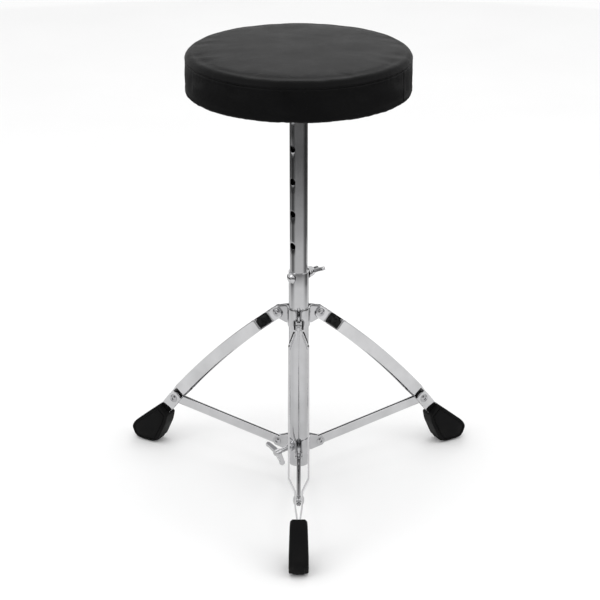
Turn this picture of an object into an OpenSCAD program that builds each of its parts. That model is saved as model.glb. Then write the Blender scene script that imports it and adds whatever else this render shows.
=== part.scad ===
// Folding drum throne: round padded seat on a telescoping post, three double-strip legs, sliding strut collar.
// Millimetres, +Z up. The origin is on the floor, on the axis of the tubes; the front leg points to -Y.

/* [Seat] */
// Radius of the padded seat
seat_r = 138; // [120:1:160]
// Height of the top of the seat above the floor
seat_top_z = 573.5; // [565:0.5:600]
// Thickness of the whole pad, cover included
seat_h = 48.7; // [44:0.1:70]
// How much smaller the pad's radius is at its foot
seat_taper = 2; // [0:0.1:3]
// Radius of the rounded top edge of the cover
seat_edge_r = 8; // [4:0.5:14]
// Thickness of the vinyl cover
cover_t = 1.2; // [0.8:0.1:2]
// Thickness of the plywood board
board_t = 12; // [9:1:15]
// How far the cover is turned in under the board
turn_in = 24; // [15:1:40]
// Radius of the dust cloth under the board
cloth_r = 122; // [118:1:128]
// Number of staples round the underside
staple_count = 24; // [12:1:36]

/* [Seat bracket] */
// Side of the square bracket plate
plate_w = 104; // [90:1:130]
// Thickness of the bracket plate
plate_t = 3; // [2:0.5:4]
// Distance of each plate screw from the centre lines
screw_offset = 40; // [34:1:42]
// Length of the socket tube below the plate
socket_len = 18; // [14:1:18]
// Wall of the socket tube
socket_wall = 3; // [2:0.5:4]
// Azimuth of the clamp bolt in the socket
clamp_bolt_az = 285; // [270:5:345]

/* [Post and main tube] */
// Outside diameter of the sliding post
post_d = 22.2; // [20:0.1:22.2]
// Outside diameter of the main tube
main_d = 25.4; // [25.4:0.1:25.4]
// Wall thickness of both tubes
tube_wall = 1.45; // [1.2:0.05:1.5]
// Lower end of the main tube
main_z0 = 23; // [20:1:30]
// Upper end of the main tube
main_z1 = 291; // [289:0.5:292]
// Lower end of the post
post_z0 = 232; // [228:1:234]
// Distance between the height holes
hole_pitch = 42; // [42:0.5:42]
// Diameter of the height holes
hole_d = 9; // [8.6:0.1:10]
// Holes above the one that holds the bolt
holes_above = 5; // [3:1:5]

/* [Height bolt] */
// Height of the bolt above the floor
bolt_z = 284.5; // [284.5:0.5:284.5]
// Diameter of the bolt
bolt_d = 8; // [6:0.5:8]
// Azimuth of the bolt head
bolt_az = 225; // [225:1:225]
// Span of the wing nut
nut_span = 42; // [34:1:44]
// Turn of the wing nut's wings past upright
nut_tilt = -22; // [-90:1:90]
// Thickness of the wing nut's wings
nut_wing_t = 4.2; // [3:0.1:5]

/* [Legs] */
// Distance of the upper leg pivot from the axis
top_r = 28.9; // [28.9:0.1:30]
// Height of the upper leg pivot
top_z = 230.5; // [230.5:0.5:230.5]
// Distance of the lower leg pivot from the axis
low_r = 190.3; // [190.3:0.1:190.3]
// Height of the lower leg pivot
low_z = 71; // [71:0.5:71]
// Width of a leg strip
strip_w = 16; // [12:0.5:18]
// Thickness of a leg strip
strip_t = 2.2; // [1.6:0.1:2.5]
// How far the leg bows outwards from a straight line
leg_bow = 6.3; // [4:0.1:10]
// Half the gap between the two strips at the upper pivot
gap_top = 3.8; // [3.8:0.1:4.2]
// Half the gap between the two strips along the leg
gap_main = 10.8; // [9:0.1:10.8]
// Half the gap between the two strips at the lower pivot
gap_low = 3; // [3:0.1:3.4]
// Half the gap between the two strips inside the foot
gap_foot = 0.7; // [0.5:0.1:0.8]

/* [Feet] */
// Half the width of a foot at the floor
foot_half_w = 11.9; // [11:0.1:11.9]
// Height of the top of the foot
foot_top_z = 57.6; // [56:0.1:59]
// Distance of the toe's end from the axis
toe_end_r = 254.5; // [253:0.1:258]

/* [Struts] */
// Distance of the inner strut pivot from the axis
inner_r = 30.1; // [30.1:0.1:30.1]
// Height of the inner strut pivot
inner_z = 48; // [48:0.5:48]
// Width of the strut channel
strut_w = 5.4; // [5:0.1:5.4]
// Height of the strut channel
strut_h = 12.5; // [11:0.5:13]
// Sheet thickness of the strut channel
strut_t = 1.4; // [1:0.1:1.6]

/* [Collars] */
// Sheet thickness of the collars
collar_t = 1.5; // [1.2:0.1:1.5]
// Lower rim of the upper collar
upper_z0 = 218.3; // [217:0.1:220]
// Upper rim of the upper collar
upper_z1 = 243; // [241:0.5:244]
// Lower rim of the lower collar
lower_z0 = 39.5; // [38:0.5:40]
// Upper rim of the lower collar
lower_z1 = 60.5; // [60:0.5:62]
// Height of the clamp screw
screw_z = 51; // [50:0.5:51]
// Azimuth of the clamp screw
screw_az = 225; // [225:1:225]
// Tilt of the clamp screw's wings from level
screw_tilt = -35; // [-90:1:90]

/* [Hidden] */
$fn = 64;
gap = 0.1;
running = 0.06;
chrome = [0.8, 0.8, 0.82];
rubber_black = [0.05, 0.05, 0.05];
vinyl_black = [0.1, 0.1, 0.1];

// Azimuths of the three legs
front_az = 270;
left_az = 150;
right_az = 30;
leg_az = [front_az, left_az, right_az];

// Seat levels, from the top of the pad down
board_r = seat_r - seat_taper - cover_t - gap;
pad_z0 = seat_top_z - seat_h;
board_z0 = pad_z0 + cover_t + gap;
board_z1 = board_z0 + board_t;
cloth_t = 0.8;
cloth_z0 = pad_z0 - cloth_t;
plate_z1 = cloth_z0 - gap;
plate_z0 = plate_z1 - plate_t;
socket_z0 = plate_z0 - socket_len;
screw_r = 3;
tee_r = 4.2;
tee_flange_r = 9;
tee_flange_t = 1.2;

// Tubes
post_r = post_d / 2;
main_r = main_d / 2;
main_bore_r = post_r + running;
post_bore_r = post_r - tube_wall;
post_z1 = plate_z0 - 4;
plug_flange_t = 2;
bolt_r = bolt_d / 2;
bolt_hole_r = bolt_r + running;

// Leg arc in the leg plane: x runs along the line between the pivots, y is square to it, outwards
chord = norm([low_r - top_r, low_z - top_z]);
chord_angle = atan2(low_z - top_z, low_r - top_r);
bow_r = (chord * chord / 4 + leg_bow * leg_bow) / (2 * leg_bow);
strip_start = -6;
strip_end = chord + 42;
upper_step = 12;
upper_step_len = 21;
low_half = 9;
low_step_len = 16;
rivet_r = 3;
rivet_hole_r = rivet_r + 0.02;
rivet_head_r = 5.5;
rivet_head_t = 1.6;

// Mouth of a foot, where the strips go in, and the tread below its toe and sole
foot_mouth_r = 212.3;
mouth_in_r = 198.2;
mouth_in_z = 45.2;
sole_z = 0.4;
tread_half_w = 7;
flare_start = 9;
flare_end = 27;

// Strut, measured from its inner pivot
strut_len = norm([low_r - inner_r, low_z - inner_z]);
strut_angle = atan2(low_z - inner_z, low_r - inner_r);
strut_hole_r = rivet_r + running;

// Collars
upper_ear_gap = 2;
lower_ear_gap = strut_w / 2 + 0.3;
upper_ear_r = 8.2;
lower_ear_r = 6.5;
ear_root = main_r - 4;
rim_step = 0.4;
lower_bore_r = main_r + running;
upper_bore_r = main_r + 0.02;

// Turns a child drawn in the leg plane (x outwards, y up) into a plate of thickness t that starts at y0
module leg_plate(y0, t) {
    translate([0, y0 + t, 0])
        rotate([90, 0, 0])
            linear_extrude(height = t)
                children();
}

// Points the child's +Z outwards at an azimuth and a height
module radial(az, z) {
    translate([0, 0, z])
        rotate([0, 0, az])
            rotate([0, 90, 0])
                children();
}

// Cylinder across the leg plane at (r, z)
module cross_pin(r, z, radius, y0, y1) {
    translate([r, y1, z])
        rotate([90, 0, 0])
            cylinder(r = radius, h = y1 - y0);
}

// Domed head that grows along +Z
module dome(radius, height) {
    ball = (radius * radius + height * height) / (2 * height);
    intersection() {
        translate([0, 0, height - ball])
            sphere(r = ball);
        cylinder(r = radius, h = height);
    }
}

// Two domed heads, their bases y0 away from the leg plane
module cross_heads(r, z, y0) {
    for (side = [0, 1])
        translate([r, 0, z])
            mirror([0, side, 0])
                translate([0, y0, 0])
                    rotate([-90, 0, 0])
                        dome(rivet_head_r, rivet_head_t);
}

module hex_head(across, height) {
    cylinder(d = across / cos(30), h = height, $fn = 6);
}

// Wing of a wing nut or wing screw: x is the way out from the axis, y runs along it
module wing(span, base, thickness) {
    tip_r = 3.5;
    tip_x = span / 2 - tip_r;
    tip_y = base + 8.5;
    rotate([90, 0, 0])
        translate([0, 0, -thickness / 2])
            linear_extrude(height = thickness) {
                polygon([
                    [0, base], [3.5, base + 0.6], [tip_x + 1.2, tip_y - tip_r + 0.2],
                    [tip_x - 1, tip_y + tip_r - 0.1], [3, base + 9], [0, base + 9]
                ]);
                translate([tip_x, tip_y])
                    circle(r = tip_r);
            }
}

// Half section of a round pad, narrower at its foot, with a rounded top edge
module pad_section(foot_r, radius, z0, z1, edge) {
    square_r = radius - edge;
    polygon([[0, z0], [foot_r, z0], [radius, z1 - edge], [0, z1 - edge]]);
    translate([0, z0])
        square([square_r, z1 - z0]);
    intersection() {
        translate([square_r, z1 - edge])
            circle(r = edge);
        translate([square_r, z1 - edge])
            square([edge, edge]);
    }
}

module seat_cover() {
    color(vinyl_black)
        rotate_extrude()
            difference() {
                pad_section(seat_r - seat_taper, seat_r, pad_z0, seat_top_z, seat_edge_r);
                pad_section(
                    board_r + gap, seat_r - cover_t, pad_z0 + cover_t, seat_top_z - cover_t, seat_edge_r - cover_t
                );
                square([seat_r - turn_in, pad_z0 + cover_t + gap]);
            }
}

module seat_foam() {
    pocket = 0.3;
    color([0.85, 0.82, 0.7])
        difference() {
            rotate_extrude()
                pad_section(
                    board_r, seat_r - cover_t - 2 * gap, board_z1 + gap, seat_top_z - cover_t - 2 * gap,
                    seat_edge_r - cover_t - 2 * gap
                );
            for (sx = [-1, 1], sy = [-1, 1])
                translate([sx * screw_offset, sy * screw_offset, board_z1])
                    cylinder(r = tee_flange_r + pocket, h = tee_flange_t + pocket);
        }
}

module seat_board() {
    color([0.72, 0.56, 0.36])
        difference() {
            translate([0, 0, board_z0])
                cylinder(r = board_r, h = board_t);
            for (sx = [-1, 1], sy = [-1, 1])
                translate([sx * screw_offset, sy * screw_offset, board_z0 - 1])
                    cylinder(r = tee_r + 0.02, h = board_t + 2);
        }
}

module underside_cloth() {
    color([0.08, 0.08, 0.08])
        translate([0, 0, cloth_z0])
            difference() {
                cylinder(r = cloth_r, h = cloth_t);
                for (sx = [-1, 1], sy = [-1, 1])
                    translate([sx * screw_offset, sy * screw_offset, -1])
                        cylinder(r = screw_r + 0.3, h = cloth_t + 2);
            }
}

module cover_staples() {
    crown_w = 10;
    wire = 0.9;
    leg_len = 7;
    color([0.7, 0.7, 0.7])
        for (i = [0 : staple_count - 1])
            rotate([0, 0, i * 360 / staple_count])
                translate([cloth_r - 3.5, -crown_w / 2, cloth_z0 - wire - 0.05]) {
                    cube([wire, crown_w, wire]);
                    cube([wire, wire, leg_len]);
                    translate([0, crown_w - wire, 0])
                        cube([wire, wire, leg_len]);
                }
}

module tee_nuts() {
    color([0.7, 0.7, 0.7])
        for (sx = [-1, 1], sy = [-1, 1])
            translate([sx * screw_offset, sy * screw_offset, 0])
                difference() {
                    union() {
                        translate([0, 0, board_z0 + 2])
                            cylinder(r = tee_r, h = board_t - 2);
                        translate([0, 0, board_z1])
                            cylinder(r = tee_flange_r, h = tee_flange_t);
                    }
                    translate([0, 0, board_z0])
                        cylinder(r = screw_r + 0.05, h = board_t + 3);
                }
}

module bracket_screws() {
    color([0.6, 0.6, 0.62])
        for (sx = [-1, 1], sy = [-1, 1])
            translate([sx * screw_offset, sy * screw_offset, 0]) {
                translate([0, 0, plate_z0 - 4])
                    hex_head(10, 4);
                translate([0, 0, plate_z0 - 1])
                    cylinder(r = screw_r, h = board_z1 - plate_z0);
            }
}

module bracket_plate() {
    corner_r = 10;
    inner = plate_w - 2 * corner_r;
    color([0.15, 0.15, 0.16])
        translate([0, 0, plate_z0])
            difference() {
                union() {
                    translate([-plate_w / 2, -inner / 2, 0])
                        cube([plate_w, inner, plate_t]);
                    translate([-inner / 2, -plate_w / 2, 0])
                        cube([inner, plate_w, plate_t]);
                    for (sx = [-1, 1], sy = [-1, 1])
                        translate([sx * inner / 2, sy * inner / 2, 0])
                            cylinder(r = corner_r, h = plate_t);
                }
                for (sx = [-1, 1], sy = [-1, 1])
                    translate([sx * screw_offset, sy * screw_offset, -1])
                        cylinder(r = screw_r + 0.3, h = plate_t + 2);
            }
}

module bracket_socket() {
    rim_r = post_r + running + socket_wall;
    boss_len = 7;
    color([0.15, 0.15, 0.16])
        difference() {
            union() {
                translate([0, 0, socket_z0])
                    cylinder(r = rim_r, h = socket_len);
                translate([0, 0, plate_z0 - 2.5])
                    cylinder(r1 = rim_r, r2 = rim_r + 2.5, h = 2.5);
                radial(clamp_bolt_az, socket_z0 + socket_len / 2)
                    cylinder(r = 6.5, h = rim_r + boss_len - 2);
            }
            translate([0, 0, socket_z0 - 1])
                cylinder(r = post_r + running, h = socket_len + 1);
            radial(clamp_bolt_az, socket_z0 + socket_len / 2)
                cylinder(r = bolt_r + 0.02, h = rim_r + boss_len);
            translate([0, 0, plate_z0])
                cylinder(r = rim_r + 3, h = 10);
        }
}

module seat_clamp_bolt() {
    tip_r = post_r + running + 0.05;
    head_base = post_r + socket_wall + 11;
    color(chrome)
        radial(clamp_bolt_az, socket_z0 + socket_len / 2) {
            translate([0, 0, tip_r])
                cylinder(r = bolt_r, h = head_base - tip_r + 1);
            translate([0, 0, head_base])
                hex_head(13, 5.5);
        }
}

module seat_post() {
    color(chrome)
        difference() {
            translate([0, 0, post_z0])
                cylinder(r = post_r, h = post_z1 - post_z0);
            translate([0, 0, post_z0 - 1])
                cylinder(r = post_bore_r, h = post_z1 - post_z0 + 2);
            for (i = [-1 : holes_above])
                radial(bolt_az, bolt_z + i * hole_pitch)
                    translate([0, 0, -post_r - 2])
                        cylinder(d = hole_d, h = post_d + 4);
        }
}

module post_top_plug() {
    insert_len = 14;
    color(rubber_black) {
        translate([0, 0, post_z1 + 0.05])
            cylinder(r = post_r, h = plug_flange_t);
        translate([0, 0, post_z1 - insert_len])
            cylinder(r = post_bore_r - 0.05, h = insert_len + 1);
    }
}

module height_bolt() {
    head_base = main_r + 0.4;
    head_r = 6.8;
    head_t = 3.8;
    shank_end = 34;
    color(chrome)
        radial(bolt_az, bolt_z) {
            translate([0, 0, -shank_end])
                cylinder(r = bolt_r, h = shank_end + head_base + 1);
            translate([0, 0, head_base])
                dome(head_r, head_t);
        }
}

module height_wing_nut() {
    base = main_r + 0.5;
    hub_len = 10;
    color(chrome)
        radial(bolt_az + 180, bolt_z)
            difference() {
                union() {
                    translate([0, 0, base])
                        cylinder(r1 = 7.5, r2 = 6, h = hub_len);
                    for (side = [0, 180])
                        rotate([0, 0, 90 + side + nut_tilt])
                            wing(nut_span, base + 3.5, nut_wing_t);
                }
                cylinder(r = bolt_hole_r, h = base + hub_len + 20);
            }
}

module main_tube() {
    color(chrome)
        difference() {
            translate([0, 0, main_z0])
                cylinder(r = main_r, h = main_z1 - main_z0);
            translate([0, 0, main_z0 - 1])
                cylinder(r = main_bore_r, h = main_z1 - main_z0 + 2);
            radial(bolt_az, bolt_z)
                translate([0, 0, -main_r - 2])
                    cylinder(r = bolt_hole_r, h = main_d + 4);
        }
}

// Ear in the leg plane: it runs from the tube to a rounded end about the pivot
module ear_shape(pivot_r, pivot_z, z0, z1, end_r) {
    polygon([
        [ear_root, z0], [main_r + 4, z0], [pivot_r, pivot_z - end_r],
        [pivot_r, pivot_z + end_r], [main_r + 4, z1], [ear_root, z1]
    ]);
    translate([pivot_r, pivot_z])
        circle(r = end_r);
}

// One stamped third of a collar, between two leg planes 60 degrees either side of its middle azimuth.
// The wall ends halfway through the ears.
module collar_third(az, bore_r, z0, z1, ear_gap, pivot_r, pivot_z, end_r, pin_r) {
    reach = 60;
    apex = (ear_gap + collar_t / 2) / sin(60);
    rotate([0, 0, az])
        difference() {
            union() {
                intersection() {
                    translate([0, 0, z0])
                        cylinder(r = bore_r + collar_t, h = z1 - z0);
                    translate([0, 0, z0])
                        linear_extrude(height = z1 - z0)
                            polygon([
                                [apex, 0], [apex + reach * cos(60), reach * sin(60)],
                                [apex + reach * cos(60), -reach * sin(60)]
                            ]);
                }
                for (side = [0, 1])
                    mirror([0, side, 0])
                        rotate([0, 0, -60])
                            difference() {
                                leg_plate(ear_gap, collar_t)
                                    ear_shape(pivot_r, pivot_z, z0 + rim_step, z1 - rim_step, end_r);
                                cross_pin(pivot_r, pivot_z, pin_r, ear_gap - 1, ear_gap + collar_t + 1);
                            }
            }
            translate([0, 0, z0 - 1])
                cylinder(r = bore_r, h = z1 - z0 + 2);
        }
}

module upper_third(az) {
    color(chrome)
        collar_third(
            az, upper_bore_r, upper_z0, upper_z1, upper_ear_gap, top_r, top_z, upper_ear_r, rivet_hole_r
        );
}

module lower_third(az) {
    color(chrome)
        collar_third(
            az, lower_bore_r, lower_z0, lower_z1, lower_ear_gap, inner_r, inner_z, lower_ear_r, rivet_hole_r
        );
}

module upper_collar_left() {
    upper_third(210);
}

module upper_collar_right() {
    upper_third(330);
}

module upper_collar_back() {
    upper_third(90);
}

module upper_pivot_pins() {
    reach = upper_ear_gap + collar_t;
    color(chrome)
        for (az = leg_az)
            rotate([0, 0, az]) {
                cross_pin(top_r, top_z, rivet_r, -reach, reach);
                cross_pin(top_r, top_z, rivet_r + 1.5, -upper_ear_gap + 0.05, upper_ear_gap - 0.05);
            }
}

module lower_collar_left() {
    difference() {
        lower_third(210);
        radial(screw_az, screw_z)
            cylinder(r = rivet_hole_r, h = 30);
    }
}

module lower_collar_right() {
    lower_third(330);
}

module lower_collar_back() {
    lower_third(90);
}

module strut_rivets() {
    reach = lower_ear_gap + collar_t;
    color(chrome)
        for (az = leg_az)
            rotate([0, 0, az]) {
                cross_pin(inner_r, inner_z, rivet_r, -reach - 0.5, reach + 0.5);
                cross_heads(inner_r, inner_z, reach + 0.02);
            }
}

module clamp_boss() {
    boss_r = 6;
    boss_base = lower_bore_r + collar_t;
    boss_len = 5;
    color(chrome)
        difference() {
            radial(screw_az, screw_z)
                cylinder(r = boss_r, h = boss_base + boss_len);
            translate([0, 0, screw_z - boss_r - 1])
                cylinder(r = boss_base + 0.02, h = 2 * boss_r + 2);
            radial(screw_az, screw_z)
                cylinder(r = rivet_r + running, h = boss_base + boss_len + 1);
        }
}

module clamp_wing_screw() {
    wing_base = 34;
    hub_len = 9;
    color(chrome)
        radial(screw_az, screw_z)
            rotate([0, 0, 90 + screw_tilt]) {
                translate([0, 0, main_r + 0.08])
                    cylinder(r = rivet_r, h = wing_base + hub_len - main_r);
                translate([0, 0, wing_base])
                    cylinder(r1 = 4.2, r2 = 3.6, h = hub_len);
                for (side = [0, 180])
                    rotate([0, 0, side])
                        wing(37, wing_base, 3);
            }
}

// Moves a child from the chord's own axes into the leg plane
module on_chord() {
    translate([top_r, 0, top_z])
        rotate([0, -chord_angle, 0])
            children();
}

// Side view of a strip on the chord's axes, wider by grow all round
module strip_side(from_x, to_x, grow) {
    intersection() {
        translate([chord / 2, leg_bow - bow_r])
            difference() {
                circle(r = bow_r + strip_w / 2 + grow, $fn = 256);
                circle(r = bow_r - strip_w / 2 - grow, $fn = 256);
            }
        translate([from_x, -40])
            square([to_x - from_x, 80]);
    }
}

// The strip seen from above: near the other strip at both pivots, wide apart along the leg
module strip_path() {
    steps = [
        [strip_start - 1, gap_top], [upper_step, gap_top], [upper_step + upper_step_len, gap_main],
        [chord - low_half - low_step_len, gap_main], [chord - low_half, gap_low], [chord + low_half, gap_low],
        [chord + low_half + low_step_len, gap_foot], [strip_end + 1, gap_foot]
    ];
    far_side = [for (i = [len(steps) - 1 : -1 : 0]) [steps[i][0], steps[i][1] + strip_t]];
    polygon(concat(steps, far_side));
}

module leg_strip(az, side) {
    color(chrome)
        rotate([0, 0, az])
            mirror([0, side, 0])
                difference() {
                    on_chord()
                        intersection() {
                            leg_plate(0, 20)
                                strip_side(strip_start, strip_end, 0);
                            translate([0, 0, -40])
                                linear_extrude(height = 80)
                                    strip_path();
                        }
                    cross_pin(top_r, top_z, rivet_hole_r, 0, 20);
                    cross_pin(low_r, low_z, rivet_hole_r, 0, 20);
                }
}

// The upper rivet is cut at the ears, so that the leg comes away from the collar in mid fold
module leg_upper_rivet(az) {
    color(chrome)
        rotate([0, 0, az]) {
            cross_heads(top_r, top_z, gap_top + strip_t + 0.02);
            for (side = [0, 1])
                mirror([0, side, 0])
                    cross_pin(top_r, top_z, rivet_r, gap_top + 0.05, gap_top + strip_t + 0.5);
        }
}

module leg_lower_rivet(az) {
    reach = gap_low + strip_t;
    color(chrome)
        rotate([0, 0, az]) {
            cross_heads(low_r, low_z, reach + 0.02);
            cross_pin(low_r, low_z, rivet_r, -reach - 0.5, reach + 0.5);
        }
}

// Side view of a foot, distance from the axis against height
module foot_side() {
    polygon([
        [foot_mouth_r, foot_top_z], [246.8, 28.8], [252, 23.2], [toe_end_r, 18], [toe_end_r, 14.5],
        [252.2, 9.5], [247.4, 4.8], [241.5, 1.6], [235, sole_z], [226, sole_z], [219.5, 1.6],
        [215, 4.6], [212.6, 8.6], [201.5, 31.6], [200, 38], [mouth_in_r, mouth_in_z]
    ]);
}

// Side view of the tread, which stands a little proud of the toe and the sole
module tread_side() {
    polygon([
        [248, 12], [252.8, 7.2], [249.6, 2.8], [244, 0], [222, 0], [216, 3], [222, 12]
    ]);
}

// Front view of a foot, half width against height
module foot_front() {
    chamfer = 3;
    half = [
        [foot_half_w - chamfer, 0], [foot_half_w, chamfer + sole_z], [foot_half_w, 10],
        [10.4, foot_top_z - 7], [8.2, foot_top_z - 0.5], [8.2, foot_top_z + 2]
    ];
    mirrored = [for (i = [len(half) - 1 : -1 : 0]) [-half[i][0], half[i][1]]];
    polygon(concat(half, mirrored));
}

module foot(az) {
    slot_half = gap_foot + strip_t + 0.1;
    flare_half = gap_low + strip_t + 0.2;
    color(rubber_black)
        rotate([0, 0, az])
            difference() {
                union() {
                    intersection() {
                        leg_plate(-foot_half_w, 2 * foot_half_w)
                            foot_side();
                        rotate([90, 0, 90])
                            linear_extrude(height = 300)
                                foot_front();
                    }
                    leg_plate(-tread_half_w, 2 * tread_half_w)
                        tread_side();
                }
                on_chord()
                    leg_plate(-slot_half, 2 * slot_half)
                        strip_side(chord, strip_end + 0.3, 0.1);
                on_chord()
                    intersection() {
                        leg_plate(-10, 20)
                            strip_side(chord, strip_end, 0.1);
                        translate([0, 0, -40])
                            linear_extrude(height = 80)
                                polygon([
                                    [chord + flare_start, flare_half], [chord + flare_end, slot_half],
                                    [chord + flare_end, -slot_half], [chord + flare_start, -flare_half]
                                ]);
                    }
            }
}

module strut(az) {
    half_h = strut_h / 2;
    color(chrome)
        rotate([0, 0, az])
            translate([inner_r, 0, inner_z])
                rotate([0, -strut_angle, 0])
                    difference() {
                        union() {
                            translate([0, -strut_w / 2, -half_h])
                                cube([strut_len, strut_w, strut_h]);
                            cross_pin(0, 0, half_h, -strut_w / 2, strut_w / 2);
                            cross_pin(strut_len, 0, half_h, -strut_w / 2, strut_w / 2);
                        }
                        translate([-half_h - 1, strut_t - strut_w / 2, strut_t - half_h])
                            cube([strut_len + strut_h + 2, strut_w - 2 * strut_t, strut_h]);
                        cross_pin(0, 0, strut_hole_r, -strut_w, strut_w);
                        cross_pin(strut_len, 0, strut_hole_r, -strut_w, strut_w);
                    }
}

module front_leg_left_strip() {
    leg_strip(front_az, 1);
}

module front_leg_right_strip() {
    leg_strip(front_az, 0);
}

module front_leg_upper_rivet() {
    leg_upper_rivet(front_az);
}

module front_leg_lower_rivet() {
    leg_lower_rivet(front_az);
}

module front_foot() {
    foot(front_az);
}

module left_leg_front_strip() {
    leg_strip(left_az, 0);
}

module left_leg_back_strip() {
    leg_strip(left_az, 1);
}

module left_leg_upper_rivet() {
    leg_upper_rivet(left_az);
}

module left_leg_lower_rivet() {
    leg_lower_rivet(left_az);
}

module left_foot() {
    foot(left_az);
}

module right_leg_front_strip() {
    leg_strip(right_az, 1);
}

module right_leg_back_strip() {
    leg_strip(right_az, 0);
}

module right_leg_upper_rivet() {
    leg_upper_rivet(right_az);
}

module right_leg_lower_rivet() {
    leg_lower_rivet(right_az);
}

module right_foot() {
    foot(right_az);
}

module front_strut() {
    strut(front_az);
}

module left_strut() {
    strut(left_az);
}

module right_strut() {
    strut(right_az);
}

seat_cover();
seat_foam();
seat_board();
underside_cloth();
cover_staples();
tee_nuts();
bracket_screws();
bracket_plate();
bracket_socket();
seat_clamp_bolt();
seat_post();
post_top_plug();
height_bolt();
height_wing_nut();
main_tube();
upper_collar_left();
upper_collar_right();
upper_collar_back();
upper_pivot_pins();
front_leg_left_strip();
front_leg_right_strip();
front_leg_upper_rivet();
front_leg_lower_rivet();
front_foot();
left_leg_front_strip();
left_leg_back_strip();
left_leg_upper_rivet();
left_leg_lower_rivet();
left_foot();
right_leg_front_strip();
right_leg_back_strip();
right_leg_upper_rivet();
right_leg_lower_rivet();
right_foot();
front_strut();
left_strut();
right_strut();
lower_collar_left();
lower_collar_right();
lower_collar_back();
strut_rivets();
clamp_boss();
clamp_wing_screw();
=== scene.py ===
import bpy
import bmesh
import math
from mathutils import Matrix, Vector, noise
from mathutils.kdtree import KDTree


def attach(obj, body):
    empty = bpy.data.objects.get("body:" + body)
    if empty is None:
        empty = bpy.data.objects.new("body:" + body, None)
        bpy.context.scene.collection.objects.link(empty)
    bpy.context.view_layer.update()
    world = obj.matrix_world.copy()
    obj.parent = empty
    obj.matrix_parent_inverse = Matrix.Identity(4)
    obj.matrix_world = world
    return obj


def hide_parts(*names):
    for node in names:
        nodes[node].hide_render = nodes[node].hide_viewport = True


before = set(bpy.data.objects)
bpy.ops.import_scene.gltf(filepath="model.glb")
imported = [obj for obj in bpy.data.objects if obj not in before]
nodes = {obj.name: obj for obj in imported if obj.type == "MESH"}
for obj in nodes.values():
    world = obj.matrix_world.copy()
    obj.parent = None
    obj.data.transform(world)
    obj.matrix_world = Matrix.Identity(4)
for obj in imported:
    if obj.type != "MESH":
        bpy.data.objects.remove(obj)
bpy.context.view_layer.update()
scene = bpy.context.scene
mm = 0.001
up = Vector((0, 0, 1))

# places that the stand's pieces share, in millimetres
stand = {
    "legTurns": {"front": 270, "left": 150, "right": 30},
    "topPivot": (28.9, 230.5),
    "lowPivot": (190.3, 71.0),
    "innerPivot": (30.1, 48.0),
    "boltHeight": 284.5,
    "boltTurn": 225,
    "screwHeight": 51.0,
}


# node trees: one wrapped socket, one way to make any node

def arithmetic(operation, swapped=False):
    def apply(self, other=0.0):
        first, second = (other, self) if swapped else (self, other)
        return self.math(operation, first, second)
    return apply


class Wire:
    def __init__(self, tree, socket):
        self.tree, self.socket = tree, socket

    def math(self, operation, first, second=0.0):
        return self.tree.node("ShaderNodeMath", {"operation": operation}, {0: first, 1: second})

    __add__, __radd__ = arithmetic("ADD"), arithmetic("ADD", True)
    __sub__, __rsub__ = arithmetic("SUBTRACT"), arithmetic("SUBTRACT", True)
    __mul__, __rmul__ = arithmetic("MULTIPLY"), arithmetic("MULTIPLY", True)
    __truediv__, __rtruediv__ = arithmetic("DIVIDE"), arithmetic("DIVIDE", True)
    __abs__ = arithmetic("ABSOLUTE")
    atLeast, atMost = arithmetic("MAXIMUM"), arithmetic("MINIMUM")
    wave, root = arithmetic("SINE"), arithmetic("SQRT")


class Tree:
    def __init__(self, nodeTree):
        self.nodeTree = nodeTree

    def node(self, kind, settings=None, inputs=None, out=0):
        made = self.nodeTree.nodes.new(kind)
        for key, value in (settings or {}).items():
            if key == "stops":
                self.setStops(made.color_ramp, value)
            else:
                setattr(made, key, value)
        for key, value in (inputs or {}).items():
            self.put(made.inputs[key], value)
        return None if out is None else Wire(self, made.outputs[out])

    def setStops(self, ramp, stops):
        while len(ramp.elements) > len(stops):
            ramp.elements.remove(ramp.elements[-1])
        while len(ramp.elements) < len(stops):
            ramp.elements.new(1.0)
        for element, (place, shade) in zip(ramp.elements, stops):
            element.position = place
            element.color = shade if len(shade) == 4 else (*shade, 1.0)

    def put(self, socket, value):
        if isinstance(value, Wire):
            self.nodeTree.links.new(value.socket, socket)
        else:
            socket.default_value = value

    def parts(self, vector):
        split = self.nodeTree.nodes.new("ShaderNodeSeparateXYZ")
        self.put(split.inputs[0], vector)
        return [Wire(self, output) for output in split.outputs]

    def joined(self, x, y, z):
        return self.node("ShaderNodeCombineXYZ", {}, {0: x, 1: y, 2: z})


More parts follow.
